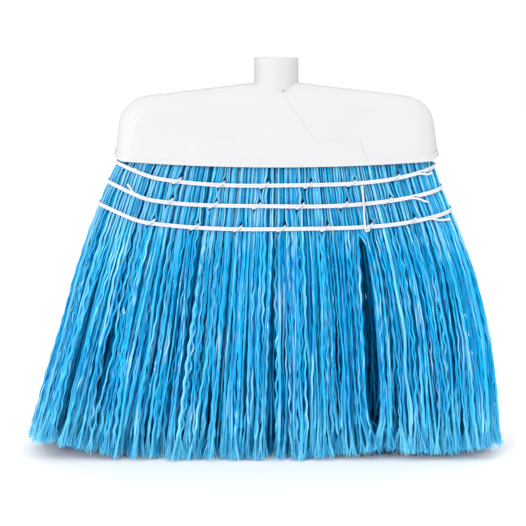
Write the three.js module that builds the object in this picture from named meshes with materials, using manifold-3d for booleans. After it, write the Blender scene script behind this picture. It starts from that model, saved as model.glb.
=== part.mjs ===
// Head of a curling broom: a flared fan of synthetic fibre, moulded cap, three stitched rows of twine.
// Millimetres, +Z up, +X across the fan, -Y towards the user.
// The origin is on the ground, under the axis of the handle socket, where the fibre tips stand.
import * as THREE from "three";
import { mergeVertices } from "three/addons/utils/BufferGeometryUtils.js";
import Module from "manifold-3d";

const wasm = await Module();
wasm.setup();

// ---- Driving dimensions ----
const gap = 0.3; // between touching pieces

// Moulded cap
const rimZ = 308; // top of the neck
const ridgeZ = 290.5; // top of the cap beside the neck
const capCorner = { x: 119.2, z: 276, radius: 24 }; // where ridge and side would meet
const capHalfWidth = 125.4; // at the ends of the lower edge
const edgeZ = 225; // middle of the lower edge
const edgeRise = 5; // the lower edge is this much higher at the ends
const capHalfDepth = 26; // at the lower edge
const faceTopZ = 276; // the flat face ends here and the shoulder begins
const faceTopHalfDepth = 17.7;
const shoulder = 14; // rounding of the shoulder and of the ends
const wall = 2.8;
const skirtBelow = 20; // length below the lower edge that the arched cut takes off
const panelProud = 0.8; // raised panel and rim band on both faces
const bandHeight = 4;

// Neck, with a socket for a 28.6 mm (1 1/8 inch) handle
const neckRadius = 17;
const neckSides = 28;
const socketMouthRadius = 14.45;
const socketFloorRadius = 14.2;
const socketDepth = 55;
const socketFloor = 3;
const pilotHole = { x: 5.2, z: 282.7, radius: 0.9 };
const webX = [45, 80, 106]; // stiffening webs inside the cap, on each side of the socket
const webThickness = 2;

// Fibre pack
const columns = 8;
const layers = ["front", "middle", "back"];
const fibreTopZ = 241.4;
const bundleLevels = [75, 140, 170, 193, 211, 227, fibreTopZ]; // above the tips
const tipRise = 7.5; // the outer tips are trimmed this much higher
const flatTrim = 0.5; // share of the width over which the trim is flat
const fanWidth = [[0, 187], [55, 178], [96, 169.5], [140, 156.5], [177, 142], [211, 127], [229, 121], [250, 118.5]];
const fanDepth = [[0, 42], [75, 35], [140, 27], [170, 24], [215, 23.4], [228, 21.8], [250, 18.6]];
const endRadius = 14; // rounding of the ends in plan
const fusedThickness = 8;

// Twine
const twineRadius = 0.8;
const rows = [
  { z: 211, firstStitch: -76, stitches: 6 },
  { z: 195, firstStitch: -82, stitches: 6 },
  { z: 177.5, firstStitch: -96.4, stitches: 7 },
];
const rowRise = 16.5; // the rows climb towards the ends, square to the fibres
const stitchPitch = 33.4;
const turnSpacing = 1.9; // between the two turns of a band
const windingTurns = 1.9;
const laneChange = [0.9, 1]; // share of the first turn over which it moves to the other lane
const startTailRun = [7, -2.5, -3.5]; // from the start of a band to its cut end
const endTailRun = [4, -4, 4];
const wrapReach = 3.3; // a stitch covers this much above and below the middle of its band
const wrapLean = 1.2; // and slants this much to each side
const crossing = { lean: 0.7, height: 2 }; // the middle of a stitch, where it lies over the band
const twineSides = 5;
const link = { x: 65.5, drift: 2.5 }; // the twine that joins the rows

// ---- Colours ----
const white = new THREE.MeshStandardMaterial({ color: 0xf2f3f3, roughness: 0.42 });
const blue = new THREE.MeshStandardMaterial({ color: 0x2f93cf, roughness: 0.5 });
const darkBlue = new THREE.MeshStandardMaterial({ color: 0x1d6ea6, roughness: 0.55 });
const twineWhite = new THREE.MeshStandardMaterial({ color: 0xeceded, roughness: 0.8 });

// ---- Helpers ----
const broom = new THREE.Group();
const lerp = THREE.MathUtils.lerp;
const vector = (x, y, z) => new THREE.Vector3(x, y, z);

function add(name, geometry, material) {
  const mesh = new THREE.Mesh(geometry, material);
  mesh.name = name;
  broom.add(mesh);
}

function toSolid(geometry) {
  const bare = geometry.clone();
  bare.deleteAttribute("normal");
  bare.deleteAttribute("uv");
  const merged = mergeVertices(bare, 1e-4);
  const mesh = new wasm.Mesh({
    numProp: 3,
    vertProperties: merged.attributes.position.array,
    triVerts: new Uint32Array(merged.index.array),
  });
  return new wasm.Manifold(mesh);
}

function toGeometry(solid) {
  const mesh = solid.getMesh();
  const geometry = new THREE.BufferGeometry();
  geometry.setAttribute("position", new THREE.BufferAttribute(mesh.vertProperties, 3));
  geometry.setIndex(new THREE.BufferAttribute(mesh.triVerts, 1));
  geometry.computeVertexNormals();
  return geometry;
}

const join = (solids) => solids.reduce((whole, piece) => whole.add(piece));

// A prism through the cap from front to back, of a shape drawn in X and Z.
function prismAlongY(shape, halfLength) {
  const geometry = new THREE.ExtrudeGeometry(shape, { depth: 2 * halfLength, bevelEnabled: false });
  return geometry.translate(0, 0, -halfLength).rotateX(Math.PI / 2);
}

// A straight rod between two points.
function rod(from, to, radius, sides) {
  const along = to.clone().sub(from);
  const geometry = new THREE.CylinderGeometry(radius, radius, along.length(), sides);
  geometry.applyQuaternion(new THREE.Quaternion().setFromUnitVectors(vector(0, 1, 0), along.normalize()));
  const middle = from.clone().add(to).multiplyScalar(0.5);
  return geometry.translate(middle.x, middle.y, middle.z);
}

// A smooth curve whose steps land on its own points, not at equal distances.
class PointedCurve extends THREE.CatmullRomCurve3 {
  getUtoTmapping(u) {
    return u;
  }
}

// Twine through the points, with one section of the tube at each of them.
function twine(points) {
  const section = new THREE.Shape();
  for (let side = 0; side < twineSides; side += 1) {
    const angle = (2 * Math.PI * side) / twineSides;
    section[side ? "lineTo" : "moveTo"](twineRadius * Math.cos(angle), twineRadius * Math.sin(angle));
  }
  const extrudePath = new PointedCurve(points, false, "centripetal");
  return new THREE.ExtrudeGeometry(section, { steps: points.length - 1, extrudePath });
}

// ---- Cap ----
const edgeHeight = (x) => edgeZ + edgeRise * (x / capHalfWidth) ** 2;

// A closed outline through corners of [x, z, radius], with an arc at each rounded one.
function roundedOutline(corners) {
  const shape = new THREE.Shape();
  corners.forEach(([x, z, radius], i) => {
    const corner = new THREE.Vector2(x, z);
    const before = new THREE.Vector2(...corners.at(i - 1)).sub(corner).normalize();
    const after = new THREE.Vector2(...corners[(i + 1) % corners.length]).sub(corner).normalize();
    const halfAngle = Math.acos(before.dot(after)) / 2;
    const centre = before.clone().add(after).setLength(radius / Math.sin(halfAngle)).add(corner);
    const tangent = radius / Math.tan(halfAngle);
    const start = before.multiplyScalar(tangent).add(corner);
    const end = after.multiplyScalar(tangent).add(corner);
    if (i === 0) shape.moveTo(start.x, start.y);
    else shape.lineTo(start.x, start.y);
    if (radius > 0) {
      shape.absarc(centre.x, centre.y, radius, start.sub(centre).angle(), end.sub(centre).angle(), false);
    }
  });
  return shape;
}

// Front outline of the cap, drawn inwards by the inset.
function capOutline(inset) {
  const footX = capHalfWidth - inset;
  const footZ = edgeZ - skirtBelow;
  const cornerX = capCorner.x - inset;
  const cornerZ = capCorner.z - inset;
  const radius = capCorner.radius - inset;
  return roundedOutline([
    [-footX, footZ, 0],
    [footX, footZ, 0],
    [footX, edgeZ, 0],
    [cornerX, cornerZ, radius],
    [0, ridgeZ - inset, 0],
    [-cornerX, cornerZ, radius],
    [-footX, edgeZ, 0],
  ]);
}

// The cap as a full body, with both faces leaning in towards the ridge.
function capBody(inset) {
  const flatHalf = capHalfDepth - shoulder;
  const rounding = shoulder - inset;
  const geometry = new THREE.ExtrudeGeometry(capOutline(inset), {
    depth: 2 * flatHalf,
    bevelThickness: rounding,
    bevelSize: rounding,
    bevelOffset: -rounding,
    bevelSegments: 3,
    curveSegments: 4,
  });
  geometry.translate(0, 0, -flatHalf).rotateX(Math.PI / 2);
  const position = geometry.attributes.position;
  const lean = (1 - faceTopHalfDepth / capHalfDepth) / (faceTopZ - edgeZ);
  for (let i = 0; i < position.count; i += 1) {
    position.setY(i, position.getY(i) * (1 - lean * (position.getZ(i) - edgeZ)));
  }
  return toSolid(geometry);
}

// Everything below the arched lower edge of the cap.
function belowEdge() {
  const reach = capHalfWidth + 15;
  const low = edgeZ - 2 * skirtBelow;
  const shape = new THREE.Shape()
    .moveTo(-reach, low)
    .lineTo(reach, low)
    .lineTo(reach, edgeHeight(reach))
    .quadraticCurveTo(0, 2 * edgeZ - edgeHeight(reach), -reach, edgeHeight(reach));
  return toSolid(prismAlongY(shape, 2 * capHalfDepth));
}

// Outline of the raised panel below the neck, which runs out into a band along the lower edge.
function panelOutline() {
  const reach = capHalfWidth + 15;
  const half = [
    [9.5, faceTopZ - 1],
    [29, 246.5],
    [64, 245],
    [69.5, edgeHeight(69.5) + bandHeight],
    [reach, edgeHeight(reach) + bandHeight],
    [reach, edgeZ - skirtBelow],
  ];
  const mirrored = half.map(([x, z]) => [-x, z]).reverse();
  return new THREE.Shape([...half, ...mirrored].reverse().map(([x, z]) => new THREE.Vector2(x, z)));
}

function upright(radiusTop, radiusBottom, top, bottom) {
  const geometry = new THREE.CylinderGeometry(radiusTop, radiusBottom, top - bottom, neckSides);
  return toSolid(geometry.rotateX(Math.PI / 2).translate(0, 0, (top + bottom) / 2));
}

function webs() {
  const low = rimZ - socketDepth - socketFloor;
  const height = ridgeZ - low;
  const middleZ = (ridgeZ + low) / 2;
  const across = webX.flatMap((x) => [x, -x]).map((x) => {
    return new THREE.BoxGeometry(webThickness, 2 * capHalfDepth, height).translate(x, 0, middleZ);
  });
  const lengthwise = new THREE.BoxGeometry(2 * capHalfWidth, webThickness, height).translate(0, 0, middleZ);
  return join([...across, lengthwise].map(toSolid)).intersect(capBody(wall / 2));
}

function cap() {
  const socketBottom = rimZ - socketDepth;
  const neckChamfer = 0.8;
  const panel = capBody(-panelProud).intersect(toSolid(prismAlongY(panelOutline(), 2 * capHalfDepth)));
  const shell = capBody(0).add(panel).subtract(capBody(wall));
  const neck = join([
    upright(neckRadius, neckRadius + 0.3, rimZ - neckChamfer, socketBottom - socketFloor),
    upright(neckRadius - neckChamfer, neckRadius, rimZ, rimZ - neckChamfer),
  ]);
  const socket = upright(socketMouthRadius, socketFloorRadius, rimZ + 0.01, socketBottom);
  const { x, z, radius } = pilotHole;
  const pilot = toSolid(rod(vector(x, -neckRadius - 2, z), vector(x, -10, z), radius, 8));
  return shell.add(webs()).add(neck).subtract(belowEdge()).subtract(socket).subtract(pilot);
}

add("cap_shell", toGeometry(cap()), white);

// ---- Fibre pack ----
// Reads a dimension of the fan at a height, from its profile of [height, size] points.
function profileAt(profile, z) {
  const last = profile.length - 2;
  const i = Math.min(last, Math.max(0, profile.findIndex(([level]) => level > z) - 1));
  const [[z0, size0], [z1, size1]] = [profile[i], profile[i + 1]];
  return lerp(size0, size1, THREE.MathUtils.clamp((z - z0) / (z1 - z0), 0, 1));
}

// Half depth of the pack at a place across the fan: a rounded rectangle in plan.
function packHalfDepth(x, z) {
  const intoCorner = Math.max(0, Math.abs(x) - (profileAt(fanWidth, z) - endRadius));
  const arc = Math.sqrt(Math.max(0, endRadius ** 2 - intoCorner ** 2));
  return profileAt(fanDepth, z) - endRadius + arc;
}

// Height of the trimmed tips, flat in the middle so that the head can stand.
function tipHeight(across) {
  const outer = Math.max(0, (Math.abs(across) - flatTrim) / (1 - flatTrim));
  return tipRise * outer ** 2;
}

// A box whose corners run from 0 to 1, moved point by point.
function warpedBox(segments, move) {
  const geometry = new THREE.BoxGeometry(1, 1, 1, ...segments).translate(0.5, 0.5, 0.5);
  const position = geometry.attributes.position;
  for (let i = 0; i < position.count; i += 1) {
    position.setXYZ(i, ...move(position.getX(i), position.getY(i), position.getZ(i)));
  }
  return geometry;
}

// One bundle of fibres: a column of the fan in one of its layers.
function bundle(column, layer) {
  const fromAcross = (2 * column) / columns - 1;
  const fromThrough = (2 * layer) / layers.length - 1;
  const last = bundleLevels.length;
  return warpedBox([3, 1, last], (u, v, w) => {
    const across = fromAcross + (2 * u) / columns;
    const z = w === 0 ? tipHeight(across) : bundleLevels[Math.round(w * last) - 1];
    const x = profileAt(fanWidth, z) * across + gap * (0.5 - u);
    const y = packHalfDepth(x, z) * (fromThrough + (2 * v) / layers.length) + gap * (0.5 - v);
    return [x, y, z];
  });
}

// The butts of the fibres, melted together into one slab inside the cap.
function fusedBlock() {
  const low = fibreTopZ + gap;
  return warpedBox([12, 1, 1], (u, v, w) => {
    const z = low + fusedThickness * w;
    const x = profileAt(fanWidth, z) * (2 * u - 1);
    return [x, packHalfDepth(x, z) * (2 * v - 1), z];
  });
}

// ---- Twine ----
const rowHeight = (row, x) => row.z + rowRise * Math.abs(x / profileAt(fanWidth, row.z)) ** 3;
const bandStandOff = gap + twineRadius;

// Points of one turn round the pack at a row, from the front right, leftwards, and back to the right.
function bandTurn(row) {
  const topHalfWidth = profileAt(fanWidth, row.z + rowRise) + bandStandOff;
  const halfDepth = profileAt(fanDepth, row.z) + bandStandOff;
  const radius = endRadius + bandStandOff;
  const x = topHalfWidth - radius;
  const y = halfDepth - radius;
  const quarter = Math.PI / 2;
  const acrossSteps = 8;
  const path = new THREE.Path().moveTo(x, -halfDepth);
  for (let i = 1; i <= acrossSteps; i += 1) path.lineTo(lerp(x, -x, i / acrossSteps), -halfDepth);
  path.absarc(-x, -y, radius, 3 * quarter, 2 * quarter, true);
  path.absarc(-x, y, radius, 2 * quarter, quarter, true);
  for (let i = 1; i <= acrossSteps; i += 1) path.lineTo(lerp(-x, x, i / acrossSteps), halfDepth);
  path.absarc(x, y, radius, quarter, 0, true);
  path.absarc(x, -y, radius, 0, -quarter, true);
  return path.getPoints(3).slice(0, -1).map((point) => {
    const z = rowHeight(row, point.x);
    const spread = (profileAt(fanWidth, z - 2 * turnSpacing) + bandStandOff) / topHalfWidth;
    return vector(point.x * spread, point.y, z);
  });
}

// The band of a row: two turns of twine side by side, with both ends left as short tails.
function band(row) {
  const turn = bandTurn(row);
  const points = [];
  for (let i = 0; i <= turn.length * windingTurns; i += 1) {
    const changeOver = THREE.MathUtils.smoothstep(i / turn.length, ...laneChange);
    const lane = vector(0, 0, turnSpacing * (changeOver - 0.5));
    points.push(turn[i % turn.length].clone().add(lane));
  }
  const startTail = points[0].clone().add(vector(...startTailRun));
  const endTail = points.at(-1).clone().add(vector(...endTailRun));
  return twine([startTail, ...points, endTail]);
}

// The needle thread where it leaves the pack, crosses its band and goes back in, on one face.
function stitch(row, x, face) {
  const surface = profileAt(fanDepth, row.z);
  const z = rowHeight(row, x);
  const at = (lean, out, up) => vector(x + lean, face * (surface + out), z + up);
  const out = 2 * bandStandOff + twineRadius + gap / 2;
  return [
    at(-wrapLean, bandStandOff, -wrapReach),
    at(-crossing.lean, out, -crossing.height),
    at(crossing.lean, out, crossing.height),
    at(wrapLean, bandStandOff, wrapReach),
  ];
}

// All stitches of a row in sewing order: front and back by turns, half a pitch apart.
function stitches(row) {
  const count = 2 * row.stitches - 1;
  return Array.from({ length: count }, (_, i) => {
    return stitch(row, row.firstStitch + (stitchPitch / 2) * i, i % 2 ? 1 : -1);
  });
}

// The thread's two ends are tucked into the pack, level with the first and last stitch.
function needlePath(row) {
  const tucked = (point) => vector(point.x, point.y * 0.7, point.z);
  const points = stitches(row).flat();
  return [tucked(points[0]), ...points, tucked(points.at(-1))];
}

// The straight stretches of the needle thread that run inside the pack.
function needleLegs(row) {
  const path = needlePath(row);
  const perStitch = 4;
  return path.slice(1).map((point, i) => [path[i], point]).filter((_, i) => i % perStitch === 0);
}

// The channels that the needle threads keep open between the fibres.
function threadChannels() {
  const channelRadius = twineRadius + 2 * gap;
  const channelSides = 6;
  const channels = rows.flatMap(needleLegs).map(([from, to]) => {
    const past = to.clone().sub(from).setLength(2 * gap);
    return toSolid(rod(from.clone().sub(past), to.clone().add(past), channelRadius, channelSides));
  });
  return join(channels);
}

// The twine that ties the three rows together, ending in a hanging loop below the last row.
function linkTwine() {
  const front = (row) => -profileAt(fanDepth, row.z) - bandStandOff;
  const over = 2 * bandStandOff + 2 * gap;
  const [first, second, third] = rows;
  const at = (row, drop, out, drift) => {
    const x = link.x + link.drift * drift;
    return vector(x, front(row) - out, rowHeight(row, x) - drop);
  };
  return twine([
    at(first, 3.4, 0.2, 0),
    at(first, 8, 0.2, 0.2),
    at(second, -4, over * 0.8, 0.4),
    at(second, -2, over, 0.4),
    at(second, 2, over, 0.5),
    at(second, 4, over * 0.8, 0.5),
    at(third, -8, 0.4, 0.9),
    at(third, -4, over * 0.8, 0.9),
    at(third, -2, over, 0.9),
    at(third, 2, over, 0.9),
    at(third, 5, over * 0.6, 1),
    at(third, 9, 0.6, 1.8),
    at(third, 12, 1.4, 0.6),
    at(third, 9, 2.8, -0.6),
    at(third, 5.5, over + 2, 0.6),
  ]);
}

const channels = threadChannels();
layers.forEach((layer, through) => {
  for (let column = 0; column < columns; column += 1) {
    const fibres = toSolid(bundle(column, through)).subtract(channels);
    add(`${layer}_fibre_bundle_${column + 1}`, toGeometry(fibres), blue);
  }
});
add("fused_fibre_block", fusedBlock(), darkBlue);
rows.forEach((row, i) => {
  add(`row_${i + 1}_band_twine`, band(row), twineWhite);
  add(`row_${i + 1}_needle_thread`, twine(needlePath(row)), twineWhite);
});
add("link_twine", linkTwine(), twineWhite);

export default broom;
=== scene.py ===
"""Head of a curling broom: moulded cap, separate strands of crimped fibre, and rows of sewn twine.

Every piece is built in millimetres in the CAD frame (+Z up, -Y towards the user) and stored in metres.
"""

import math

import bmesh
import bpy
import numpy as np
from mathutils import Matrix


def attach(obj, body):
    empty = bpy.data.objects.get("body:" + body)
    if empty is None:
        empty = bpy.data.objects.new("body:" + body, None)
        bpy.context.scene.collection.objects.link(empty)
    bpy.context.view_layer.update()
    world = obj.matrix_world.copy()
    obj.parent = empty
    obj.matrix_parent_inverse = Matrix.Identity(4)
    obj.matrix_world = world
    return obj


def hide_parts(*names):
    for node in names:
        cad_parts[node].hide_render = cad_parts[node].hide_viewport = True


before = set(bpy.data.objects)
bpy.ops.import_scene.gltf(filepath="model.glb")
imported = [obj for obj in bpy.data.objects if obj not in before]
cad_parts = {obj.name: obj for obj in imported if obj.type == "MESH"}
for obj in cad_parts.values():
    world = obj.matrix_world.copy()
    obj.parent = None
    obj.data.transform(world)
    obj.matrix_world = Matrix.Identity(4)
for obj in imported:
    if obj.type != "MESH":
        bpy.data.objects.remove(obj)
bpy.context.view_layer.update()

MM = 0.001
rng = np.random.default_rng(11)

# ---- Sizes, as in the CAD model ----
RIM_Z = 308
RIDGE_Z = 290.5
RIDGE_RADIUS = 200
CAP_CORNER = (119.2, 276, 24)  # x, z and radius of the corner between ridge and side
CAP_HALF_WIDTH = 125.4
EDGE_Z = 225
EDGE_RISE = 5
CORNER_RISE = 3
CORNER_X = (118, 126)  # the corners of the lower edge are rounded off over this range
CAP_HALF_DEPTH = 26
FACE_TOP_Z = 276
FACE_TOP_HALF_DEPTH = 17.7
SHOULDER = 14
WALL = 2.8
SKIRT_BELOW = 20
PANEL_PROUD = 0.8
PANEL_SLOPE = 1.2
BAND_HEIGHT = 4
NECK_RADIUS = 17
SOCKET_MOUTH_RADIUS = 14.45
SOCKET_FLOOR_RADIUS = 14.2
SOCKET_DEPTH = 55
SOCKET_FLOOR = 3
PILOT_HOLE = (5.2, 282.7, 0.6)  # x, z and radius
PILOT_Y = (-NECK_RADIUS - 3, -10)  # it goes through the front wall of the socket only
WEB_X = (45, 80, 106)
WEB_THICKNESS = 2
RIM_ROUNDING = 1
RIM_POINTS = 5
NECK_TAPER = 0.3
BEVEL = 0.4
BEVELLED_ANGLE = 48  # degrees
SHARP_ANGLE = 22
MOUTH_CHAMFER = (0.6, 0.8)  # out and down
PANEL_SIDE = ((4.7, 282), (29, 246.5), (64, 245))  # x and z of its right side, from the ridge down
PANEL_FOOT_X = 69.5  # from here out the rim band is all that stands proud
PANEL_RINGS_Y = (-28, -25, 25, 28)
CUTTER_REACH = CAP_HALF_WIDTH + 15  # the shapes that cut the cap reach past it
CUTTER_HALF_DEPTH = 60
OVERCUT = 0.1
EDGE_POINTS = 141
BAND_POINTS = 40

CAMERA = (-10.3, -1250, 318)
CAMERA_PITCH = 7.75  # degrees below level
CAMERA_LENS = 110.07

COLUMNS = 8
LAYERS = ("front", "middle", "back")
FIBRE_TOP_Z = 241.4
END_RADIUS = 14
# half width and half depth of the fan at each height
FAN_WIDTH = ((0, 187), (55, 178), (96, 169.5), (140, 156.5), (177, 142), (211, 127), (229, 121), (250, 118.5))
FAN_DEPTH = ((0, 42), (75, 35), (140, 27), (170, 24), (215, 23.6), (228, 22.8), (250, 18.6))

TWINE_RADIUS = 0.79
# height in the middle, x of the first stitch, number of stitches on the front, extra rise of the left end
ROWS = ((211, -76, 6, 2.7), (195, -82, 6, 4.4), (177.5, -96.4, 7, 5.0))
ROW_RISE = 16.5
LEFT_END = (0.66, 0.92)  # the extra rise comes in over this share of the half width
STITCH_PITCH = 33.4
TURN_SPACING = 1.48

# ---- The fan as it hangs: its two sides splay by different amounts at each height ----
FAN_LEFT = ((0, 198), (58, 182), (96, 170), (139, 158), (177, 145), (205, 133.5), (220, 127), (229, 122.3),
            (250, 118.5))
FAN_RIGHT = ((0, 176), (55, 171.5), (92, 167), (116, 161.5), (143, 154.5), (177, 142), (211, 127), (229, 121),
             (250, 118.5))
# height of the trimmed tips across the fan
FRONT_TRIM = ((-200, 15), (-175, 13.5), (-158, 9.5), (-140, 5.2), (-118, 1.8), (-85, 0.3), (-60, 0.3),
              (-40, 0.8), (-11, 0.3), (16, 0.3), (49, 2.6), (83, 7.5), (100, 5.2), (128, 4.8), (151, 7.5),
              (180, 10.5))
MIDDLE_TRIM = ((-200, 6), (-150, 0.8), (150, 0.8), (185, 6))
BACK_TRIM = ((-200, 9), (-140, 5), (-90, 0.8), (-30, 2.6), (40, 0.8), (100, 3), (150, 6), (190, 10))
TRIM = {"front": FRONT_TRIM, "middle": MIDDLE_TRIM, "back": BACK_TRIM}


def smoothstep(x, low, high):
    t = np.clip((x - low) / (high - low), 0, 1)
    return t * t * (3 - 2 * t)


def read(profile, x):
    """A size read from a profile of (place, size) points."""
    places, sizes = zip(*profile)
    return np.interp(x, places, sizes)


def fan_half_width(x, z):
    return np.where(x < 0, read(FAN_LEFT, z), read(FAN_RIGHT, z))


def row_height(row, x):
    """Height of a row of twine, which climbs to both ends, and a little more at the left one."""
    row_z, _, _, left_rise = row
    share = x / read(FAN_WIDTH, row_z)
    return row_z + ROW_RISE * np.abs(share) ** 3 + left_rise * smoothstep(-share, *LEFT_END)


def pack_half_depth(x, z):
    """Half depth of the fibre pack: a rounded rectangle in plan."""
    half_width = fan_half_width(x, z)
    into_corner = np.clip(np.abs(x) - (half_width - END_RADIUS), 0, END_RADIUS)
    return read(FAN_DEPTH, z) - END_RADIUS + np.sqrt(END_RADIUS**2 - into_corner**2)


# ---- Meshes ----
def new_object(name, vertices, face_groups, material, attributes=None, smooth=True):
    """A mesh object from vertices in millimetres and arrays of faces with the same number of corners."""
    mesh = bpy.data.meshes.new(name)
    vertices = np.asarray(vertices, np.float32).reshape(-1, 3) * MM
    corners = np.concatenate([group.ravel() for group in face_groups]).astype(np.int32)
    totals = np.concatenate([np.full(len(group), group.shape[1]) for group in face_groups])
    starts = np.concatenate([[0], np.cumsum(totals)[:-1]]).astype(np.int32)
    mesh.vertices.add(len(vertices))
    mesh.vertices.foreach_set("co", vertices.ravel())
    mesh.loops.add(len(corners))
    mesh.loops.foreach_set("vertex_index", corners)
    mesh.polygons.add(len(starts))
    mesh.polygons.foreach_set("loop_start", starts)
    mesh.update(calc_edges=True)
    mesh.polygons.foreach_set("use_smooth", np.full(len(starts), smooth))
    for key, (kind, values) in (attributes or {}).items():
        attribute = mesh.attributes.new(key, kind, "POINT")
        field = "vector" if kind == "FLOAT_VECTOR" else "value"
        attribute.data.foreach_set(field, np.asarray(values, np.float32).ravel())
    mesh.materials.append(material)
    obj = bpy.data.objects.new(name, mesh)
    bpy.context.scene.collection.objects.link(obj)
    return obj


def tube_faces(tubes, rings, sides):
    """Quads of tubes, whose vertices run tube by tube and ring by ring, and the faces that close them."""
    index = np.arange(tubes * rings * sides).reshape(tubes, rings, sides)
    turned = np.roll(index, -1, axis=2)
    quads = np.stack([index[:, :-1], turned[:, :-1], turned[:, 1:], index[:, 1:]], axis=-1).reshape(-1, 4)
    starts = index[:, 0, ::-1].reshape(-1, sides)
    ends = index[:, -1].reshape(-1, sides)
    return quads, np.concatenate([starts, ends])


def normalised(vectors):
    return vectors / np.linalg.norm(vectors, axis=-1, keepdims=True)


def tube_frames(points, wide):
    """Tangent, wide axis and thin axis along the curves, given a rough wide axis."""
    tangent = normalised(np.gradient(points, axis=-2))
    wide = normalised(wide - tangent * (wide * tangent).sum(-1, keepdims=True))
    return tangent, wide, np.cross(tangent, wide)


# ---- Materials ----
def new_material(name):
    material = bpy.data.materials.new(name)
    material.use_nodes = True
    nodes, links = material.node_tree.nodes, material.node_tree.links
    return material, nodes, links, nodes["Principled BSDF"]


def ramp(nodes, links, factor, stops):
    """The colour that a ramp with stops of (place, colour) has at a factor."""
    node = nodes.new("ShaderNodeValToRGB")
    elements = node.color_ramp.elements
    elements[0].position = stops[0][0]
    elements[-1].position = stops[-1][0]
    for place, _ in stops[1:-1]:
        elements.new(place)
    for element, (_, colour) in zip(elements, stops):
        element.color = (*colour, 1)
    links.new(factor, node.inputs["Fac"])
    return node.outputs["Color"]


def calculated(nodes, links, operation, *values):
    """The result of a calculation with numbers and with the outputs of other nodes."""
    node = nodes.new("ShaderNodeMath")
    node.operation = operation
    for socket, value in zip(node.inputs, values):
        if isinstance(value, float):
            socket.default_value = value
        else:
            links.new(value, socket)
    return node.outputs["Value"]


def stored(nodes, name, output="Fac"):
    """A value that is stored at the points of the mesh."""
    node = nodes.new("ShaderNodeAttribute")
    node.attribute_name = name
    return node.outputs[output]


def noise(nodes, scale, detail):
    node = nodes.new("ShaderNodeTexNoise")
    node.inputs["Scale"].default_value = scale
    node.inputs["Detail"].default_value = detail
    return node


def stretched_noise(nodes, links, place, across, along, detail):
    """Noise that is drawn out along a strand, from its scales across and along."""
    stretch = nodes.new("ShaderNodeMapping")
    stretch.inputs["Scale"].default_value = (across, along, 1.0)
    links.new(place, stretch.inputs["Vector"])
    node = noise(nodes, 1.0, detail)
    links.new(stretch.outputs["Vector"], node.inputs["Vector"])
    return node


def mix_towards(nodes, links, share, colour, other):
    """Mixes a colour towards another one by a share."""
    node = nodes.new("ShaderNodeMix")
    node.data_type = "RGBA"
    links.new(share, node.inputs["Factor"])
    links.new(colour, node.inputs["A"])
    node.inputs["B"].default_value = (*other, 1)
    return node.outputs["Result"]


def add_bump(nodes, links, shader, height, strength, distance):
    node = nodes.new("ShaderNodeBump")
    node.inputs["Strength"].default_value = strength
    node.inputs["Distance"].default_value = distance
    links.new(height, node.inputs["Height"])
    links.new(node.outputs["Normal"], shader.inputs["Normal"])


def fibre_material():
    material, nodes, links, shader = new_material("crimped_fibre")
    place = stored(nodes, "place", "Vector")
    # the tint carries painted shade on the inner strands and painted sheen where the twine bunches them
    colours = ramp(nodes, links, stored(nodes, "tint"), [
        (0.0, (0.0, 0.25, 0.60)),
        (0.45, (0.0, 0.37, 0.71)),
        (0.8, (0.03, 0.47, 0.80)),
        (1.0, (0.22, 0.64, 0.93)),
    ])
    # fine lengthwise lines of the filaments in a strand
    lines = stretched_noise(nodes, links, place, across=1.7, along=0.03, detail=2.0)
    line_shades = ramp(nodes, links, lines.outputs["Fac"], [(0.3, (0, 0, 0)), (0.7, (1, 1, 1))])
    lined = nodes.new("ShaderNodeMix")
    lined.data_type = "RGBA"
    lined.blend_type = "SOFT_LIGHT"
    lined.inputs["Factor"].default_value = 0.7
    links.new(colours, lined.inputs["A"])
    links.new(line_shades, lined.inputs["B"])
    # painted highlight: milky streaks, about as wide as one side of a strand, on the outer strands only
    streaks = stretched_noise(nodes, links, place, across=0.55, along=0.02, detail=1.0)
    streak_share = ramp(nodes, links, streaks.outputs["Fac"], [(0.56, (0, 0, 0)), (0.68, (0.85, 0.85, 0.85))])
    painted_highlight_share = calculated(nodes, links, "MULTIPLY", streak_share, stored(nodes, "outer"))
    milky = mix_towards(nodes, links, painted_highlight_share, lined.outputs["Result"], (0.33, 0.70, 0.95))
    faded = mix_towards(nodes, links, stored(nodes, "fade"), milky, (0.16, 0.75, 1.0))
    links.new(faded, shader.inputs["Base Color"])
    add_bump(nodes, links, shader, lines.outputs["Fac"], strength=0.35, distance=0.0002)
    shader.inputs["Roughness"].default_value = 0.16
    shader.inputs["Specular IOR Level"].default_value = 0.4
    return material


def cap_material():
    material, nodes, links, shader = new_material("white_moulded_plastic")
    coordinates = nodes.new("ShaderNodeTexCoord")
    clouds = noise(nodes, scale=14, detail=3)
    links.new(coordinates.outputs["Object"], clouds.inputs["Vector"])
    whites = [(0.3, (0.587, 0.587, 0.594)), (0.7, (0.612, 0.612, 0.617))]
    links.new(ramp(nodes, links, clouds.outputs["Fac"], whites), shader.inputs["Base Color"])
    peel = noise(nodes, scale=900, detail=2)
    links.new(coordinates.outputs["Object"], peel.inputs["Vector"])
    add_bump(nodes, links, shader, peel.outputs["Fac"], strength=0.12, distance=0.0003)
    gloss = nodes.new("ShaderNodeMapRange")
    gloss.inputs["To Min"].default_value = 0.42
    gloss.inputs["To Max"].default_value = 0.54
    links.new(clouds.outputs["Fac"], gloss.inputs["Value"])
    links.new(gloss.outputs["Result"], shader.inputs["Roughness"])
    shader.inputs["IOR"].default_value = 1.49
    return material


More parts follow.
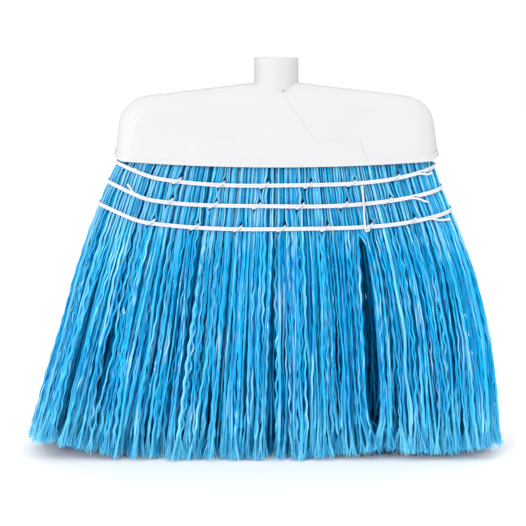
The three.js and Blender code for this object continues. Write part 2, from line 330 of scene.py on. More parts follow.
def twine_material():
    material, nodes, links, shader = new_material("white_twine")
    wave = nodes.new("ShaderNodeTexWave")
    wave.wave_type = "BANDS"
    wave.bands_direction = "DIAGONAL"
    wave.inputs["Scale"].default_value = 0.35
    wave.inputs["Distortion"].default_value = 0.8
    links.new(stored(nodes, "place", "Vector"), wave.inputs["Vector"])
    whites = [(0.0, (0.65, 0.65, 0.68)), (1.0, (0.77, 0.77, 0.80))]
    links.new(ramp(nodes, links, wave.outputs["Fac"], whites), shader.inputs["Base Color"])
    add_bump(nodes, links, shader, wave.outputs["Fac"], strength=0.3, distance=0.0002)
    shader.inputs["Roughness"].default_value = 0.62
    return material


def fused_material():
    material, nodes, links, shader = new_material("fused_fibre")
    blotches = noise(nodes, scale=320, detail=4)
    blues = [(0.35, (0.003, 0.09, 0.27)), (0.7, (0.01, 0.20, 0.46))]
    links.new(ramp(nodes, links, blotches.outputs["Fac"], blues), shader.inputs["Base Color"])
    add_bump(nodes, links, shader, blotches.outputs["Fac"], strength=0.6, distance=0.0006)
    shader.inputs["Roughness"].default_value = 0.38
    return material


def floor_material():
    material, _, _, shader = new_material("studio_floor")
    shader.inputs["Base Color"].default_value = (0.93, 0.93, 0.935, 1)
    shader.inputs["Roughness"].default_value = 0.9
    shader.inputs["Specular IOR Level"].default_value = 0.1
    return material


FIBRE = fibre_material()
PLASTIC = cap_material()
TWINE = twine_material()

# ---- Strands ----
# Sections of a strand, in half widths and thicknesses: a ridged ribbon, a twisted pair and a crimped cord
RIBBON = ((-1, 0), (-0.62, 0.95), (-0.2, 0.5), (0.28, 1), (0.7, 0.75), (1, 0), (0.4, -0.9), (-0.4, -0.9))
TWISTED = ((-1, 0), (-0.62, 0.85), (0, 0.5), (0.62, 0.85), (1, 0), (0.62, -0.85), (0, -0.5), (-0.62, -0.85))
CRIMPED = ((-1, 0), (-0.68, 0.72), (0, 1), (0.68, 0.76), (1, 0), (0.68, -0.74), (0, -1), (-0.68, -0.74))
SECTIONS = np.array([RIBBON, TWISTED, CRIMPED])
# For these three kinds: how common each is, and the ranges of half width, of half thickness and of tint
KIND_SHARES = (0.22, 0.26, 0.52)
HALF_WIDTHS = ((0.95, 1.35), (0.7, 0.95), (0.75, 1.1))
HALF_THICKNESSES = ((0.4, 0.55), (0.5, 0.65), (0.55, 0.8))
TINTS = ((0.4, 0.9), (0.1, 0.8), (0.0, 0.85))
TWISTED_KIND = 1
TWIST = (0.21, 0.29)  # radians in a millimetre
RIBBON_TURN, CORD_TURN = 0.45, 0.6
SLOW_TURN = 0.5
SLOW_TURN_LENGTHS = (22, 45)

STRANDS = {"front": 92, "middle": 96, "back": 84}  # in each bundle
RINGS = {"front": 96, "middle": 64, "back": 88}
FILLED_WIDTH = 0.996
CROWDING = 1.25  # power that draws the outer strands towards the faces of the pack
HIDDEN_Z = (FIBRE_TOP_Z, FIBRE_TOP_Z - 6)  # the first two rings of a strand, inside the cap
EVEN_FROM_Z = 229  # where the evenly spaced rings begin
FREE_FROM_Z = 176  # the strands hang free below the last row of twine
BUNCHED_Z = (150, 195)  # over this range they change from loose to bunched together by the twine
BUNCHED_NARROWING = 0.35
BUNCHED_THICKENING = 0.21
# painted sheen: over this range the strands are made lighter by this much tint, up into the rows where the
# twine bunches them
PAINTED_SHEEN_Z = (150, 190)
PAINTED_SHEEN_TINT = 0.33
END_TAPER = 0.7

LEAN = 3.6  # usual sideways drift at the tip
STRAY_LEAN = 8  # further drift of a few strands
STRAY_SHARE = 0.1
MOST_LEAN = 15
SIDE_STRANDS = 0.93  # beyond this share of the width the strands lean inwards only
CALM_SIDES = (0.9, 1.0)  # over this share of the width clumps and waves die down
CALMING = 0.75
CLUMPS = ((2.0, 3.9, 1), (1.5, 2.07, 2), (2.0, 8.3, 1))  # size, width and shift of the waves of clumps
CLUMP_SHIFT = {"front": 0.0, "middle": 2.1, "back": 4.4}
SIDE_WAVES = ((0.2, 1.7), (55, 130))  # ranges of size and length
DEPTH_WAVES = ((0, 1.4), (60, 150))
DEPTH_DRIFT = 1.6
TIP_FLARE = 3.5
# powers by which the drifts grow from nothing, where the strands are free, down to the tips
LEAN_GROWTH, CLUMP_GROWTH, WAVE_GROWTH, FLARE_GROWTH = 1.15, 0.8, 0.6, 2
PINCH_HEIGHT = 4.5  # the pack is pulled in over this height above and below a row
SIDE_PINCH = 0.4
SIDE_PINCH_POWER = 12  # so that only the strands at the very sides move
FACE_PINCH = 0.7
SKIN = 1.0  # between the face of the pack and the middles of its outermost strands
TIP_REACH = 47  # how far the strands may stand from the middle plane
FILAMENT_REACH = TIP_REACH + 3

CRIMP_SIZES = (0.15, 0.5, 0.85)
CRIMP_SHARES = (0.35, 0.35, 0.30)
CRIMP_SPREAD = (0.7, 1.15)
CRIMP_LENGTHS = (13.5, 17.5)
CRIMP_TILT = 1.3  # radians out of the plane of the fan, either way
CRIMP_DRIFT = (0.4, 23)  # size and length of the unevenness along a strand
SEWN_Z = (165, 186)  # over this range the twine flattens the crimps
SEWN_FLATTENING = 0.7

HOLE_RISE = 2.6  # the needle thread goes in and comes out this far below and above the middle of a stitch
HOLE_HEIGHT = 2.4
HOLE_WIDTH = 3.5
HOLE_PUSH = 1.6
HOLE_DEPTH = (10, 18)  # the hole opens over this range of y
SPLIT_X = ((0, 74), (31, 72.9), (51, 71.8), (92, 71.0), (125, 70.4), (140, 69.6), (160, 67.8), (177, 66.4))
SPLIT_HALF = ((0, 0), (24, 0), (31, 2.0), (51, 3.4), (92, 4.2), (125, 4.7), (140, 4.0), (160, 1.8), (174, 0))
SPLIT_SHARE = {"front": 1.0, "middle": 0.0, "back": 0.0}
SPLIT_REACH = 14  # how far the strands beside the gap are pushed together
SLIVER_X = ((53, -138.2), (59, -137.1), (70, -132.6), (87, -130), (105, -125.8))
SLIVER_HALF = ((42, 0), (53, 1.3), (59, 1.3), (66, 0.3), (75, 1.6), (87, 2.1), (100, 1.3), (110, 0))
SLIVER_REACH = 11
PARTING_Y = -34  # the plane, near the front of the pack, in which the gaps are laid out

FILAMENTS = {"front": 9, "middle": 6, "back": 9}
FILAMENT_RINGS = 6
FILAMENT_SIDES = 3
FILAMENT_RADIUS = (0.30, 0.15)  # at its root and its tip
FILAMENT_LENGTH = (0.9, 1.05)  # share of the way to the trimmed end
FRAY = (11, 23)  # length of the frayed end
TRIM_SCATTER = 1.4
ROOT_OVERLAP = 0.22  # share of its length by which a filament starts inside its strand
ROOT_SPREAD = 0.8
FLARE_WIDE = (1.3, 3.4)
FLARE_THIN = (0.9, 2.2)
STRAY_FLARE = 1.6
STRAY_FILAMENTS = 0.05
FILAMENT_SCATTER = 0.55
FILAMENT_GROWTH, SCATTER_GROWTH = 1.5, 1.95
STEEPENING = 0.1  # the filaments hang a little more steeply than their strand
FLOOR_GAP = 0.25

OUTER = (0.4, 0.95)  # over this share of the depth the strands change from inner ones, darkened by painted shade, to outer ones, which carry the painted highlight streaks
# painted shade deep in the pack: the innermost strands keep these shares of their tint and of the paleness of
# their ends
INNER_TINT_PAINTED_SHADE = 0.4
INNER_FADE_PAINTED_SHADE = 0.3
TIP_FADE = 0.6
TIP_FADE_HEIGHT = 11
FILAMENT_FADE = (0.55, 1.0)  # at its root and its tip
PALENESS = (0.25, 1.0)  # some strands fray darker and some paler
PALENESS_SHARES = (0.5, 0.5)
PALENESS_SPREAD = (0.75, 1.0)


def column_of(values):
    """One value for each strand, for use at all of its rings."""
    return values[:, None]


def by_kind(kind, ranges):
    """A random size for each strand, from the range for its kind."""
    return np.choose(kind, [rng.uniform(*span, len(kind)) for span in ranges])


def parted(points, centre, half, reach):
    """Pushes each strand to its own side of a parting line, which is seen as a gap from the front."""
    x, y, z = points[..., 0], points[..., 1], points[..., 2]
    eye_x, eye_y, _ = CAMERA
    toward_front = (PARTING_Y - eye_y) / (y - eye_y)
    seen_x = eye_x + (x - eye_x) * toward_front
    aside = seen_x - read(centre, z)
    opening = read(half, z)
    side = np.sign((aside * opening).sum(axis=1, keepdims=True))
    clear = np.maximum(side * aside, 0)
    wanted = clear + opening * np.exp(-clear / reach)
    share = np.minimum(opening, 1)
    points[..., 0] += side * share * (wanted - side * aside) / toward_front


def stitch_places(row, face):
    """x of the stitches of a row on one face: the back ones lie half a pitch further."""
    _, first, count, _ = row
    if face > 0:
        return [first + STITCH_PITCH * (i + 0.5) for i in range(count - 1)]
    return [first + STITCH_PITCH * i for i in range(count)]


def opened_at_stitches(points, face):
    """The fibres part round each place where the needle thread goes in."""
    x, y, z = points[..., 0], points[..., 1], points[..., 2]
    near = smoothstep(face * y, *HOLE_DEPTH)
    for row in ROWS:
        for stitch_x in stitch_places(row, face):
            for rise in (-HOLE_RISE, HOLE_RISE):
                close = np.exp(-(((z - row_height(row, stitch_x) - rise) / HOLE_HEIGHT) ** 2))
                aside = x - (stitch_x + rise)
                side = np.sign((aside * close).sum(axis=1, keepdims=True))
                x += side * HOLE_PUSH * close * near * np.exp(-np.abs(aside) / HOLE_WIDTH)


def strand_places(column, layer, count):
    """Where the strands of a bundle run: across the fan and through it, both from -1 to 1."""
    slots = (np.arange(count) + rng.random(count)) / count
    across = (2 * (column + slots) / COLUMNS - 1) * FILLED_WIDTH
    depth_slots = rng.permutation((np.arange(count) + rng.random(count)) / count)
    if layer == "front":
        depth_slots = depth_slots**CROWDING
    if layer == "back":
        depth_slots = 1 - (1 - depth_slots) ** CROWDING
    return across, 2 * (LAYERS.index(layer) + depth_slots) / len(LAYERS) - 1


def ring_heights(split_z, rings):
    """Height of the rings of each strand: the hidden ones, and even ones down to where it splits."""
    hidden = len(HIDDEN_Z)
    z = np.empty((len(split_z), rings))
    z[:, :hidden] = HIDDEN_Z
    z[:, hidden:] = EVEN_FROM_Z + (column_of(split_z) - EVEN_FROM_Z) * np.linspace(0, 1, rings - hidden)
    return z


def strand_lean(across):
    """Sideways drift of the tips: small for most strands, larger for a few, and inwards at the sides."""
    count = len(across)
    drift = rng.normal(0, LEAN, count) + (rng.random(count) < STRAY_SHARE) * rng.normal(0, STRAY_LEAN, count)
    drift = np.clip(drift, -MOST_LEAN, MOST_LEAN)
    return np.where(np.abs(across) > SIDE_STRANDS, -np.abs(drift) * np.sign(across), drift)


def clump_shift(tip_x, layer):
    """Sideways shift that gathers the tips in clumps, which lie elsewhere in each layer."""
    shift = CLUMP_SHIFT[layer]
    return sum(size * np.sin(tip_x / width + turns * shift) for size, width, turns in CLUMPS)


def waves(z, sizes, lengths):
    """A slow random wave along each strand."""
    count = len(z)
    size = column_of(rng.uniform(*sizes, count))
    length = column_of(rng.uniform(*lengths, count))
    phase = column_of(rng.uniform(0, 2 * np.pi, count))
    return size * np.sin(2 * np.pi * z / length + phase)


def crimps(z):
    """The crimp of each strand, as its shifts in x and in y."""
    count = len(z)
    size = column_of(rng.choice(CRIMP_SIZES, count, p=CRIMP_SHARES) * rng.uniform(*CRIMP_SPREAD, count))
    length = column_of(rng.uniform(*CRIMP_LENGTHS, count))
    phase = column_of(rng.uniform(0, 2 * np.pi, count))
    tilt = column_of(rng.uniform(-CRIMP_TILT, CRIMP_TILT, count))
    drift_size, drift_length = CRIMP_DRIFT
    wave = size * np.sin(2 * np.pi * z / length + phase + drift_size * np.sin(z / drift_length + phase))
    wave *= 1 - SEWN_FLATTENING * smoothstep(z, *SEWN_Z)
    return wave * np.cos(tilt), wave * np.sin(tilt)


def strand_curves(column, layer, count, rings):
    """Centre lines of the strands in one bundle, from inside the cap down to where they fray."""
    across, through = strand_places(column, layer, count)
    tip_x = across * fan_half_width(across, 0)
    tip_z = read(TRIM[layer], tip_x) + TRIM_SCATTER * rng.random(count) ** 2
    z = ring_heights(tip_z + rng.uniform(*FRAY, count), rings)
    free = np.clip((FREE_FROM_Z - z) / FREE_FROM_Z, 0, 1)

    x = column_of(across) * fan_half_width(column_of(across), z)
    calm = 1 - CALMING * smoothstep(np.abs(across), *CALM_SIDES)
    x += free**LEAN_GROWTH * column_of(strand_lean(across))
    x += free**CLUMP_GROWTH * column_of(clump_shift(tip_x, layer) * calm)
    x += free**WAVE_GROWTH * waves(z, *SIDE_WAVES) * column_of(calm)

    pinch = sum(np.exp(-(((z - row_height(row, x)) / PINCH_HEIGHT) ** 2)) for row in ROWS)
    pinch = np.minimum(pinch, 1)
    x -= SIDE_PINCH * pinch * column_of(np.sign(across) * np.abs(across) ** SIDE_PINCH_POWER)
    y = column_of(through) * (pack_half_depth(x, z) - SKIN - FACE_PINCH * pinch)
    y += free * column_of(rng.normal(0, DEPTH_DRIFT, count)) + free * waves(z, *DEPTH_WAVES)
    y += TIP_FLARE * free**FLARE_GROWTH * column_of(through)

    crimp_x, crimp_y = crimps(z)
    points = np.stack([x + crimp_x, np.clip(y + crimp_y, -TIP_REACH, TIP_REACH), z], axis=-1)
    if layer != "middle":
        opened_at_stitches(points, -1 if layer == "front" else 1)
    split = [(level, half * SPLIT_SHARE[layer]) for level, half in SPLIT_HALF]
    parted(points, SPLIT_X, split, SPLIT_REACH)
    parted(points, SLIVER_X, SLIVER_HALF, SLIVER_REACH)
    return points, tip_z, smoothstep(np.abs(through), *OUTER)


def frayed_ends(points, wide, thin, tangent, half_size, tip_z, filaments):
    """Centre lines of the fine filaments that fan out from the end of each strand."""
    count = len(points)
    angle = rng.uniform(0, 2 * np.pi, (count, filaments))
    radius = np.sqrt(rng.random((count, filaments)))
    place = np.stack([np.cos(angle), np.sin(angle)], axis=-1) * radius[..., None]
    flare = np.stack([rng.uniform(*FLARE_WIDE, count), rng.uniform(*FLARE_THIN, count)], axis=-1)[:, None]
    stray = 1 + STRAY_FLARE * (rng.random((count, filaments, 1)) < STRAY_FILAMENTS)
    t = np.linspace(-ROOT_OVERLAP, 1, FILAMENT_RINGS)[None, None, :, None]
    out = np.clip(t, 0, 1)
    spread = half_size[:, None, None] * ROOT_SPREAD + (flare * stray)[:, :, None] * out**FILAMENT_GROWTH
    scatter = rng.normal(0, FILAMENT_SCATTER, (count, filaments, 1, 2)) * out**SCATTER_GROWTH
    across = place[:, :, None] * spread + scatter
    down = tangent * (1 - STEEPENING) - np.array([0, 0, STEEPENING])
    length = (points[:, 2] - tip_z) / -down[:, 2]
    reach = length[:, None, None, None] * rng.uniform(*FILAMENT_LENGTH, (count, filaments, 1, 1))
    curve = (
        points[:, None, None]
        + down[:, None, None] * t * reach
        + wide[:, None, None] * across[..., :1]
        + thin[:, None, None] * across[..., 1:]
    )
    curve[..., 1] = np.clip(curve[..., 1], -FILAMENT_REACH, FILAMENT_REACH)
    curve[..., 2] = np.maximum(curve[..., 2], FLOOR_GAP)
    return curve.reshape(-1, FILAMENT_RINGS, 3)


def section_turn(kind, z):
    """How far the section of a strand is turned at each ring: slowly, and steadily in a twisted pair."""
    count = len(kind)
    start = np.choose(kind, [
        rng.normal(0, RIBBON_TURN, count),
        rng.uniform(0, np.pi, count),
        rng.normal(0, CORD_TURN, count),
    ])
    slow = column_of(rng.normal(0, SLOW_TURN, count))
    slow = slow * np.sin(z / column_of(rng.uniform(*SLOW_TURN_LENGTHS, count)))
    rate = np.where(kind == TWISTED_KIND, rng.uniform(*TWIST, count), 0)
    return column_of(start) + slow + column_of(rate) * z


def strand_bodies(points, wide, thin, kind, half_width, half_thin):
    """Vertices of the strands, and how far across its strand each one lies."""
    bunched = smoothstep(points[..., 2], *BUNCHED_Z)
    end = np.ones(points.shape[1])
    end[-1] = END_TAPER
    size_wide = column_of(half_width) * (1 - BUNCHED_NARROWING * bunched) * end
    size_thin = column_of(half_thin) * (1 + BUNCHED_THICKENING * bunched) * end
    section = SECTIONS[kind][:, None]
    across = section[..., 0] * size_wide[..., None]
    out = section[..., 1] * size_thin[..., None]
    body = points[:, :, None] + wide[:, :, None] * across[..., None] + thin[:, :, None] * out[..., None]
    return body, across


def filament_bodies(curves):
    """Vertices of the filaments, which taper towards their tips."""
    corner = 2 * np.pi * (np.arange(FILAMENT_SIDES) + 0.5)[:, None] / FILAMENT_SIDES
    _, wide, thin = tube_frames(curves, np.array([1.0, 0.0, 0.0]))
    radius = np.linspace(*FILAMENT_RADIUS, FILAMENT_RINGS)[:, None, None]
    out = wide[:, :, None] * np.cos(corner) + thin[:, :, None] * np.sin(corner)
    return curves[:, :, None] + radius * out


def strand_attributes(z, across, kind, outer, filaments):
    """Tint with painted shade and painted sheen, the outer share that carries the painted highlight streaks,
    and paleness of the strands and their filaments, and the places along and across them.
    """
    count, total = len(z), len(z) * filaments
    # painted shade: the inner strands get a darker tint
    milky = by_kind(kind, TINTS) * (INNER_TINT_PAINTED_SHADE + (1 - INNER_TINT_PAINTED_SHADE) * outer)
    identity = rng.uniform(0, 1000, count)
    # painted shade: the ends of the inner strands fray less pale
    outer_fade = INNER_FADE_PAINTED_SHADE + (1 - INNER_FADE_PAINTED_SHADE) * outer
    fade = TIP_FADE * np.exp(-(z - z[:, -1:]) / TIP_FADE_HEIGHT) * column_of(outer_fade)
    pale = np.repeat(rng.choice(PALENESS, count, p=PALENESS_SHARES), filaments)
    pale = pale * rng.uniform(*PALENESS_SPREAD, total) * np.repeat(outer_fade, filaments)
    zero = np.zeros((total, FILAMENT_RINGS))

    def on_rings(values):
        return np.broadcast_to(values[..., None], across.shape)

    def on_filaments(values):
        return np.broadcast_to(values[..., None], (total, FILAMENT_RINGS, FILAMENT_SIDES))

    def inherited(values):
        return on_filaments(column_of(np.repeat(values, filaments)) + zero)

    def joined(strand_values, filament_values):
        return np.concatenate([strand_values.ravel(), filament_values.ravel()])

    place = np.stack([across, on_rings(z), on_rings(column_of(identity) + 0 * z)], axis=-1)
    filament = on_filaments(column_of(np.arange(total)) + zero)
    fine_place = np.stack([0 * filament, 0 * filament, filament], axis=-1)
    # painted sheen where the twine bunches the strands
    tint = column_of(milky) + PAINTED_SHEEN_TINT * smoothstep(z, *PAINTED_SHEEN_Z)
    fine_fade = np.linspace(*FILAMENT_FADE, FILAMENT_RINGS) * column_of(pale)
    return {
        "tint": ("FLOAT", joined(on_rings(tint), inherited(milky))),
        "outer": ("FLOAT", joined(on_rings(column_of(outer) + 0 * z), inherited(outer))),
        "fade": ("FLOAT", joined(on_rings(fade), on_filaments(fine_fade))),
        "place": ("FLOAT_VECTOR", joined(place, fine_place)),
    }


def strand_mesh(name, column, layer):
    """The strands of one bundle, each with its frayed end, as one mesh."""
    count, rings, filaments = STRANDS[layer], RINGS[layer], FILAMENTS[layer]
    points, tip_z, outer = strand_curves(column, layer, count, rings)
    kind = rng.choice(len(SECTIONS), count, p=KIND_SHARES)
    half_width = by_kind(kind, HALF_WIDTHS)
    half_thin = by_kind(kind, HALF_THICKNESSES)
    z = points[..., 2]
    turn = section_turn(kind, z)
    tangent, wide, thin = tube_frames(points, np.stack([np.cos(turn), np.sin(turn), 0 * turn], axis=-1))
    body, across = strand_bodies(points, wide, thin, kind, half_width, half_thin)
    quads, ends = tube_faces(count, rings, across.shape[-1])

    half_size = np.stack([half_width, half_thin], axis=-1)
    curves = frayed_ends(points[:, -1], wide[:, -1], thin[:, -1], tangent[:, -1], half_size, tip_z, filaments)
    fine = filament_bodies(curves)
    fine_quads, fine_ends = tube_faces(len(curves), FILAMENT_RINGS, FILAMENT_SIDES)

    offset = body.size // 3
    vertices = np.concatenate([body.reshape(-1, 3), fine.reshape(-1, 3)])
    groups = [quads, ends, fine_quads + offset, fine_ends + offset]
    strands = new_object(name, vertices, groups, FIBRE, strand_attributes(z, across, kind, outer, filaments))
    # the strands are rounded and the filaments are left with flat sides
    rounded = np.arange(sum(map(len, groups))) < len(quads) + len(ends)
    strands.data.polygons.foreach_set("use_smooth", rounded)
    return strands


def add_strands():
    for layer in LAYERS:
        for column in range(COLUMNS):
            strands = strand_mesh(f"{layer}_strands_{column + 1}", column, layer)
            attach(strands, "root")
            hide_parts(f"{layer}_fibre_bundle_{column + 1}")


# ---- Cap ----
def rounded_outline(corners, arc_steps=14):
    """Points of a closed outline through corners of (x, z, radius), with an arc at each rounded one."""
    points = []
    for i, (x, z, radius) in enumerate(corners):
        corner = np.array([x, z])
        if radius <= 0:
            points.append(corner)
            continue
        before = normalised(np.array(corners[i - 1][:2]) - corner)
        after = normalised(np.array(corners[(i + 1) % len(corners)][:2]) - corner)
        half_angle = math.acos(before @ after) / 2
        centre = corner + normalised(before + after) * radius / math.sin(half_angle)
        start = corner + before * radius / math.tan(half_angle) - centre
        end = corner + after * radius / math.tan(half_angle) - centre
        angle = math.atan2(start[1], start[0])
        sweep = (math.atan2(end[1], end[0]) - angle + math.pi) % (2 * math.pi) - math.pi
        for step in np.linspace(0, 1, arc_steps + 1):
            turned = angle + sweep * step
            points.append(centre + radius * np.array([math.cos(turned), math.sin(turned)]))
    return np.array(points)


def cap_outline(inset):
    """Outline of the cap and of a skirt below its edge, moved in by inset."""
    corner_x, corner_z, radius = CAP_CORNER
    foot_x, foot_z = CAP_HALF_WIDTH - inset, EDGE_Z - SKIRT_BELOW
    corner_x, corner_z, radius = corner_x - inset, corner_z - inset, radius - inset
    return rounded_outline([
        (-foot_x, foot_z, 0),
        (foot_x, foot_z, 0),
        (foot_x, EDGE_Z, 0),
        (corner_x, corner_z, radius),
        (0, RIDGE_Z - inset, RIDGE_RADIUS),
        (-corner_x, corner_z, radius),
        (-foot_x, EDGE_Z, 0),
    ])


def solid_from_rings(name, rings):
    """A closed solid from equal rings of points, with a flat polygon on the first and the last one."""
    rings = np.array(rings)
    quads, ends = tube_faces(1, rings.shape[0], rings.shape[1])
    obj = new_object(name, rings.reshape(-1, 3), [quads, ends], PLASTIC, smooth=False)
    outwards(obj)
    return obj


def outwards(obj):
    """Turns all faces of a closed mesh outwards."""
    bm = bmesh.new()
    bm.from_mesh(obj.data)
    bmesh.ops.recalc_face_normals(bm, faces=bm.faces)
    bm.to_mesh(obj.data)
    bm.free()


def lean(points):
    """Both faces of the cap lean in towards the ridge."""
    rate = (1 - FACE_TOP_HALF_DEPTH / CAP_HALF_DEPTH) / (FACE_TOP_Z - EDGE_Z)
    points[:, 1] *= 1 - rate * (points[:, 2] - EDGE_Z)
    return points


def cap_body(inset):
    """The cap as a plain solid with rounded shoulders on both faces."""
    flat_half = CAP_HALF_DEPTH - SHOULDER
    rounding = SHOULDER - inset
    steps = 10
    rings = []
    for i in range(-steps, steps + 1):
        angle = abs(i) / steps * math.pi / 2
        side = 1 if i >= 0 else -1
        outline = cap_outline(inset + rounding * (1 - math.cos(angle)))
        y = side * (flat_half + rounding * math.sin(angle))
        ring = np.column_stack([outline[:, 0], np.full(len(outline), y), outline[:, 1]])
        rings.append(lean(ring))
        if i == 0:
            other = ring.copy()
            other[:, 1] *= -1
            rings.insert(-1, other)
    return solid_from_rings("cap_body", rings)


def prism(name, outline, near, far):
    """A prism of an outline in x and z, from y near to y far."""
    outline = np.array(outline, float)
    rings = [np.column_stack([outline[:, 0], np.full(len(outline), y), outline[:, 1]]) for y in (near, far)]
    return solid_from_rings(name, rings)


def edge_height(x):
    """The lower edge of the cap rises towards both ends, and its corners are rounded off."""
    return EDGE_Z + EDGE_RISE * (x / CAP_HALF_WIDTH) ** 2 + CORNER_RISE * smoothstep(abs(x), *CORNER_X)


def below_edge():
    """All the space under the lower edge of the cap."""
    top = [(x, edge_height(x)) for x in np.linspace(-CUTTER_REACH, CUTTER_REACH, EDGE_POINTS)]
    low = EDGE_Z - 2 * SKIRT_BELOW
    outline = [(CUTTER_REACH, low), *top[::-1], (-CUTTER_REACH, low)]
    return prism("below_edge", outline, -CUTTER_HALF_DEPTH, CUTTER_HALF_DEPTH)


def shrunk(outline, inset):
    """A closed outline with its edges moved in by inset."""
    outline = np.array(outline, float)
    edges = normalised(np.roll(outline, -1, axis=0) - outline)
    normals = np.column_stack([edges[:, 1], -edges[:, 0]])
    before = np.roll(normals, 1, axis=0)
    corner = before + normals
    return outline + inset * 2 * corner / (corner**2).sum(axis=1, keepdims=True)


def panel_block():
    """A block whose sloping sides cut the raised panel and the rim band out of a slightly larger cap."""
    xs = np.linspace(PANEL_FOOT_X, CUTTER_REACH, BAND_POINTS)
    rim_band = [(x, edge_height(x) + BAND_HEIGHT) for x in xs]
    right = [*PANEL_SIDE, *rim_band, (CUTTER_REACH, EDGE_Z - SKIRT_BELOW)]
    outline = [*right, *[(-x, z) for x, z in right][::-1]]
    rings = []
    for y in PANEL_RINGS_Y:
        points = shrunk(outline, PANEL_SLOPE * (abs(y) - CAP_HALF_DEPTH))
        rings.append(lean(np.column_stack([points[:, 0], np.full(len(points), float(y)), points[:, 1]])))
    return solid_from_rings("panel_block", rings)


def lathe(name, profile, sides=96, centre=(0, 0), axis="z"):
    """A solid of revolution from (radius, height) points."""
    angle = 2 * np.pi * np.arange(sides) / sides
    rings = []
    for radius, height in profile:
        level = np.full(sides, float(height))
        ring = np.column_stack([radius * np.cos(angle), radius * np.sin(angle), level])
        if axis == "y":
            ring = np.column_stack([centre[0] + ring[:, 0], ring[:, 2], centre[1] + ring[:, 1]])
        rings.append(ring)
    return solid_from_rings(name, rings)


def box(name, low, high):
    x0, y0, z0 = low
    x1, y1, z1 = high
    rings = [[(x0, y0, z), (x1, y0, z), (x1, y1, z), (x0, y1, z)] for z in (z0, z1)]
    return solid_from_rings(name, rings)


def apply_modifiers(obj):
    graph = bpy.context.evaluated_depsgraph_get()
    mesh = bpy.data.meshes.new_from_object(obj.evaluated_get(graph))
    obj.modifiers.clear()
    obj.data = mesh


def combine(obj, tool, operation):
    """Joins, cuts or intersects a solid with another one, which is used up."""
    modifier = obj.modifiers.new("cut", "BOOLEAN")
    modifier.operation = operation
    modifier.solver = "MANIFOLD"
    modifier.object = tool
    apply_modifiers(obj)
    bpy.data.objects.remove(tool)
    return obj


def webs(low):
    """The stiffening webs inside the cap: one along it and three across it on each side."""
    half = WEB_THICKNESS / 2
    result = box("web", (-CAP_HALF_WIDTH, -half, low), (CAP_HALF_WIDTH, half, RIDGE_Z))
    for x in [side * place for place in WEB_X for side in (-1, 1)]:
        web = box("web", (x - half, -CAP_HALF_DEPTH, low), (x + half, CAP_HALF_DEPTH, RIDGE_Z))
        result = combine(result, web, "UNION")
    return combine(result, cap_body(WALL / 2), "INTERSECT")


def neck(low):
    """The round neck, with a rounded rim, down to the underside of the socket's floor."""
    profile = [(NECK_RADIUS + NECK_TAPER, low)]
    for angle in np.linspace(0, math.pi / 2, RIM_POINTS):
        radius = NECK_RADIUS - RIM_ROUNDING * (1 - math.cos(angle))
        profile.append((radius, RIM_Z - RIM_ROUNDING * (1 - math.sin(angle))))
    return lathe("neck", profile)


def socket(bottom):
    """The tapered bore of the handle socket, with a chamfered mouth."""
    chamfer_out, chamfer_down = MOUTH_CHAMFER
    return lathe("socket", [
        (SOCKET_FLOOR_RADIUS, bottom),
        (SOCKET_MOUTH_RADIUS, RIM_Z - chamfer_down),
        (SOCKET_MOUTH_RADIUS + chamfer_out, RIM_Z + OVERCUT),
    ])


def round_edges(obj):
    """A small bevel on the sharp edges, and clean shading next to it."""
    bevel = obj.modifiers.new("edges", "BEVEL")
    bevel.width = BEVEL * MM
    bevel.segments = 2
    bevel.limit_method = "ANGLE"
    bevel.angle_limit = math.radians(BEVELLED_ANGLE)
    bevel.use_clamp_overlap = True
    apply_modifiers(obj)
    mesh = obj.data
    mesh.polygons.foreach_set("use_smooth", np.full(len(mesh.polygons), True))
    mesh.set_sharp_from_angle(angle=math.radians(SHARP_ANGLE))
    weighted = obj.modifiers.new("normals", "WEIGHTED_NORMAL")
    weighted.keep_sharp = True


def cap():
    """The one-piece moulding: shell, raised panel, webs, neck with its socket, and pilot hole."""
    socket_bottom = RIM_Z - SOCKET_DEPTH
    low = socket_bottom - SOCKET_FLOOR
    panel = combine(cap_body(-PANEL_PROUD), panel_block(), "INTERSECT")
    shell = combine(cap_body(0), panel, "UNION")
    shell = combine(shell, cap_body(WALL), "DIFFERENCE")
    shell = combine(shell, webs(low), "UNION")
    shell = combine(shell, neck(low), "UNION")
    shell = combine(shell, below_edge(), "DIFFERENCE")
    shell = combine(shell, socket(socket_bottom), "DIFFERENCE")
    x, z, radius = PILOT_HOLE
    pilot = lathe("pilot", [(radius, y) for y in PILOT_Y], sides=24, centre=(x, z), axis="y")
    shell = combine(shell, pilot, "DIFFERENCE")
    shell.name = "moulded_cap"
    round_edges(shell)
    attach(shell, "root")
    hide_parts("cap_shell")


# ---- Twine ----
PLIES = 3
PLY_SPACING = 5.5  # along the twine
PLY_BULGE = 0.07
TWINE_END = 0.8  # radius of a cut end, as a share of the twine's
STAND_OFF = 0.3 + TWINE_RADIUS
TWINE_SIDES = 12
TWINE_STEP = 0.8
FACE_POINTS = 56  # along a face of the pack
CORNER_POINTS = 7
PLAN_GAP, SIDE_GAP = 0.5, 0.3  # between the sides of the pack and a band, as laid out and as it hangs
CROSSING = (0.68, 0.76)  # the shares of a turn between which the two turns of a band cross, at the back
BAND_SWAY = (0.22, 19)  # size and length of its unevenness
LIFT = 1.5  # of the turn that crosses over the other one
END_TUCK = 1.6  # how far the end of a band goes into the pack
# x and z of the cut end of each band, from its start to its tip, and how far the tail stands out
TAILS = (
    ((112.0, 219.9), (115.2, 219.6), (118.8, 221.2)),
    ((109.4, 200.6), (112.6, 199.3), (116.5, 198.4)),
    ((118.0, 185.6), (125.0, 184.6), (133.4, 185.2)),
)
TAIL_OUT = (0.5, 0.9, 0.6)
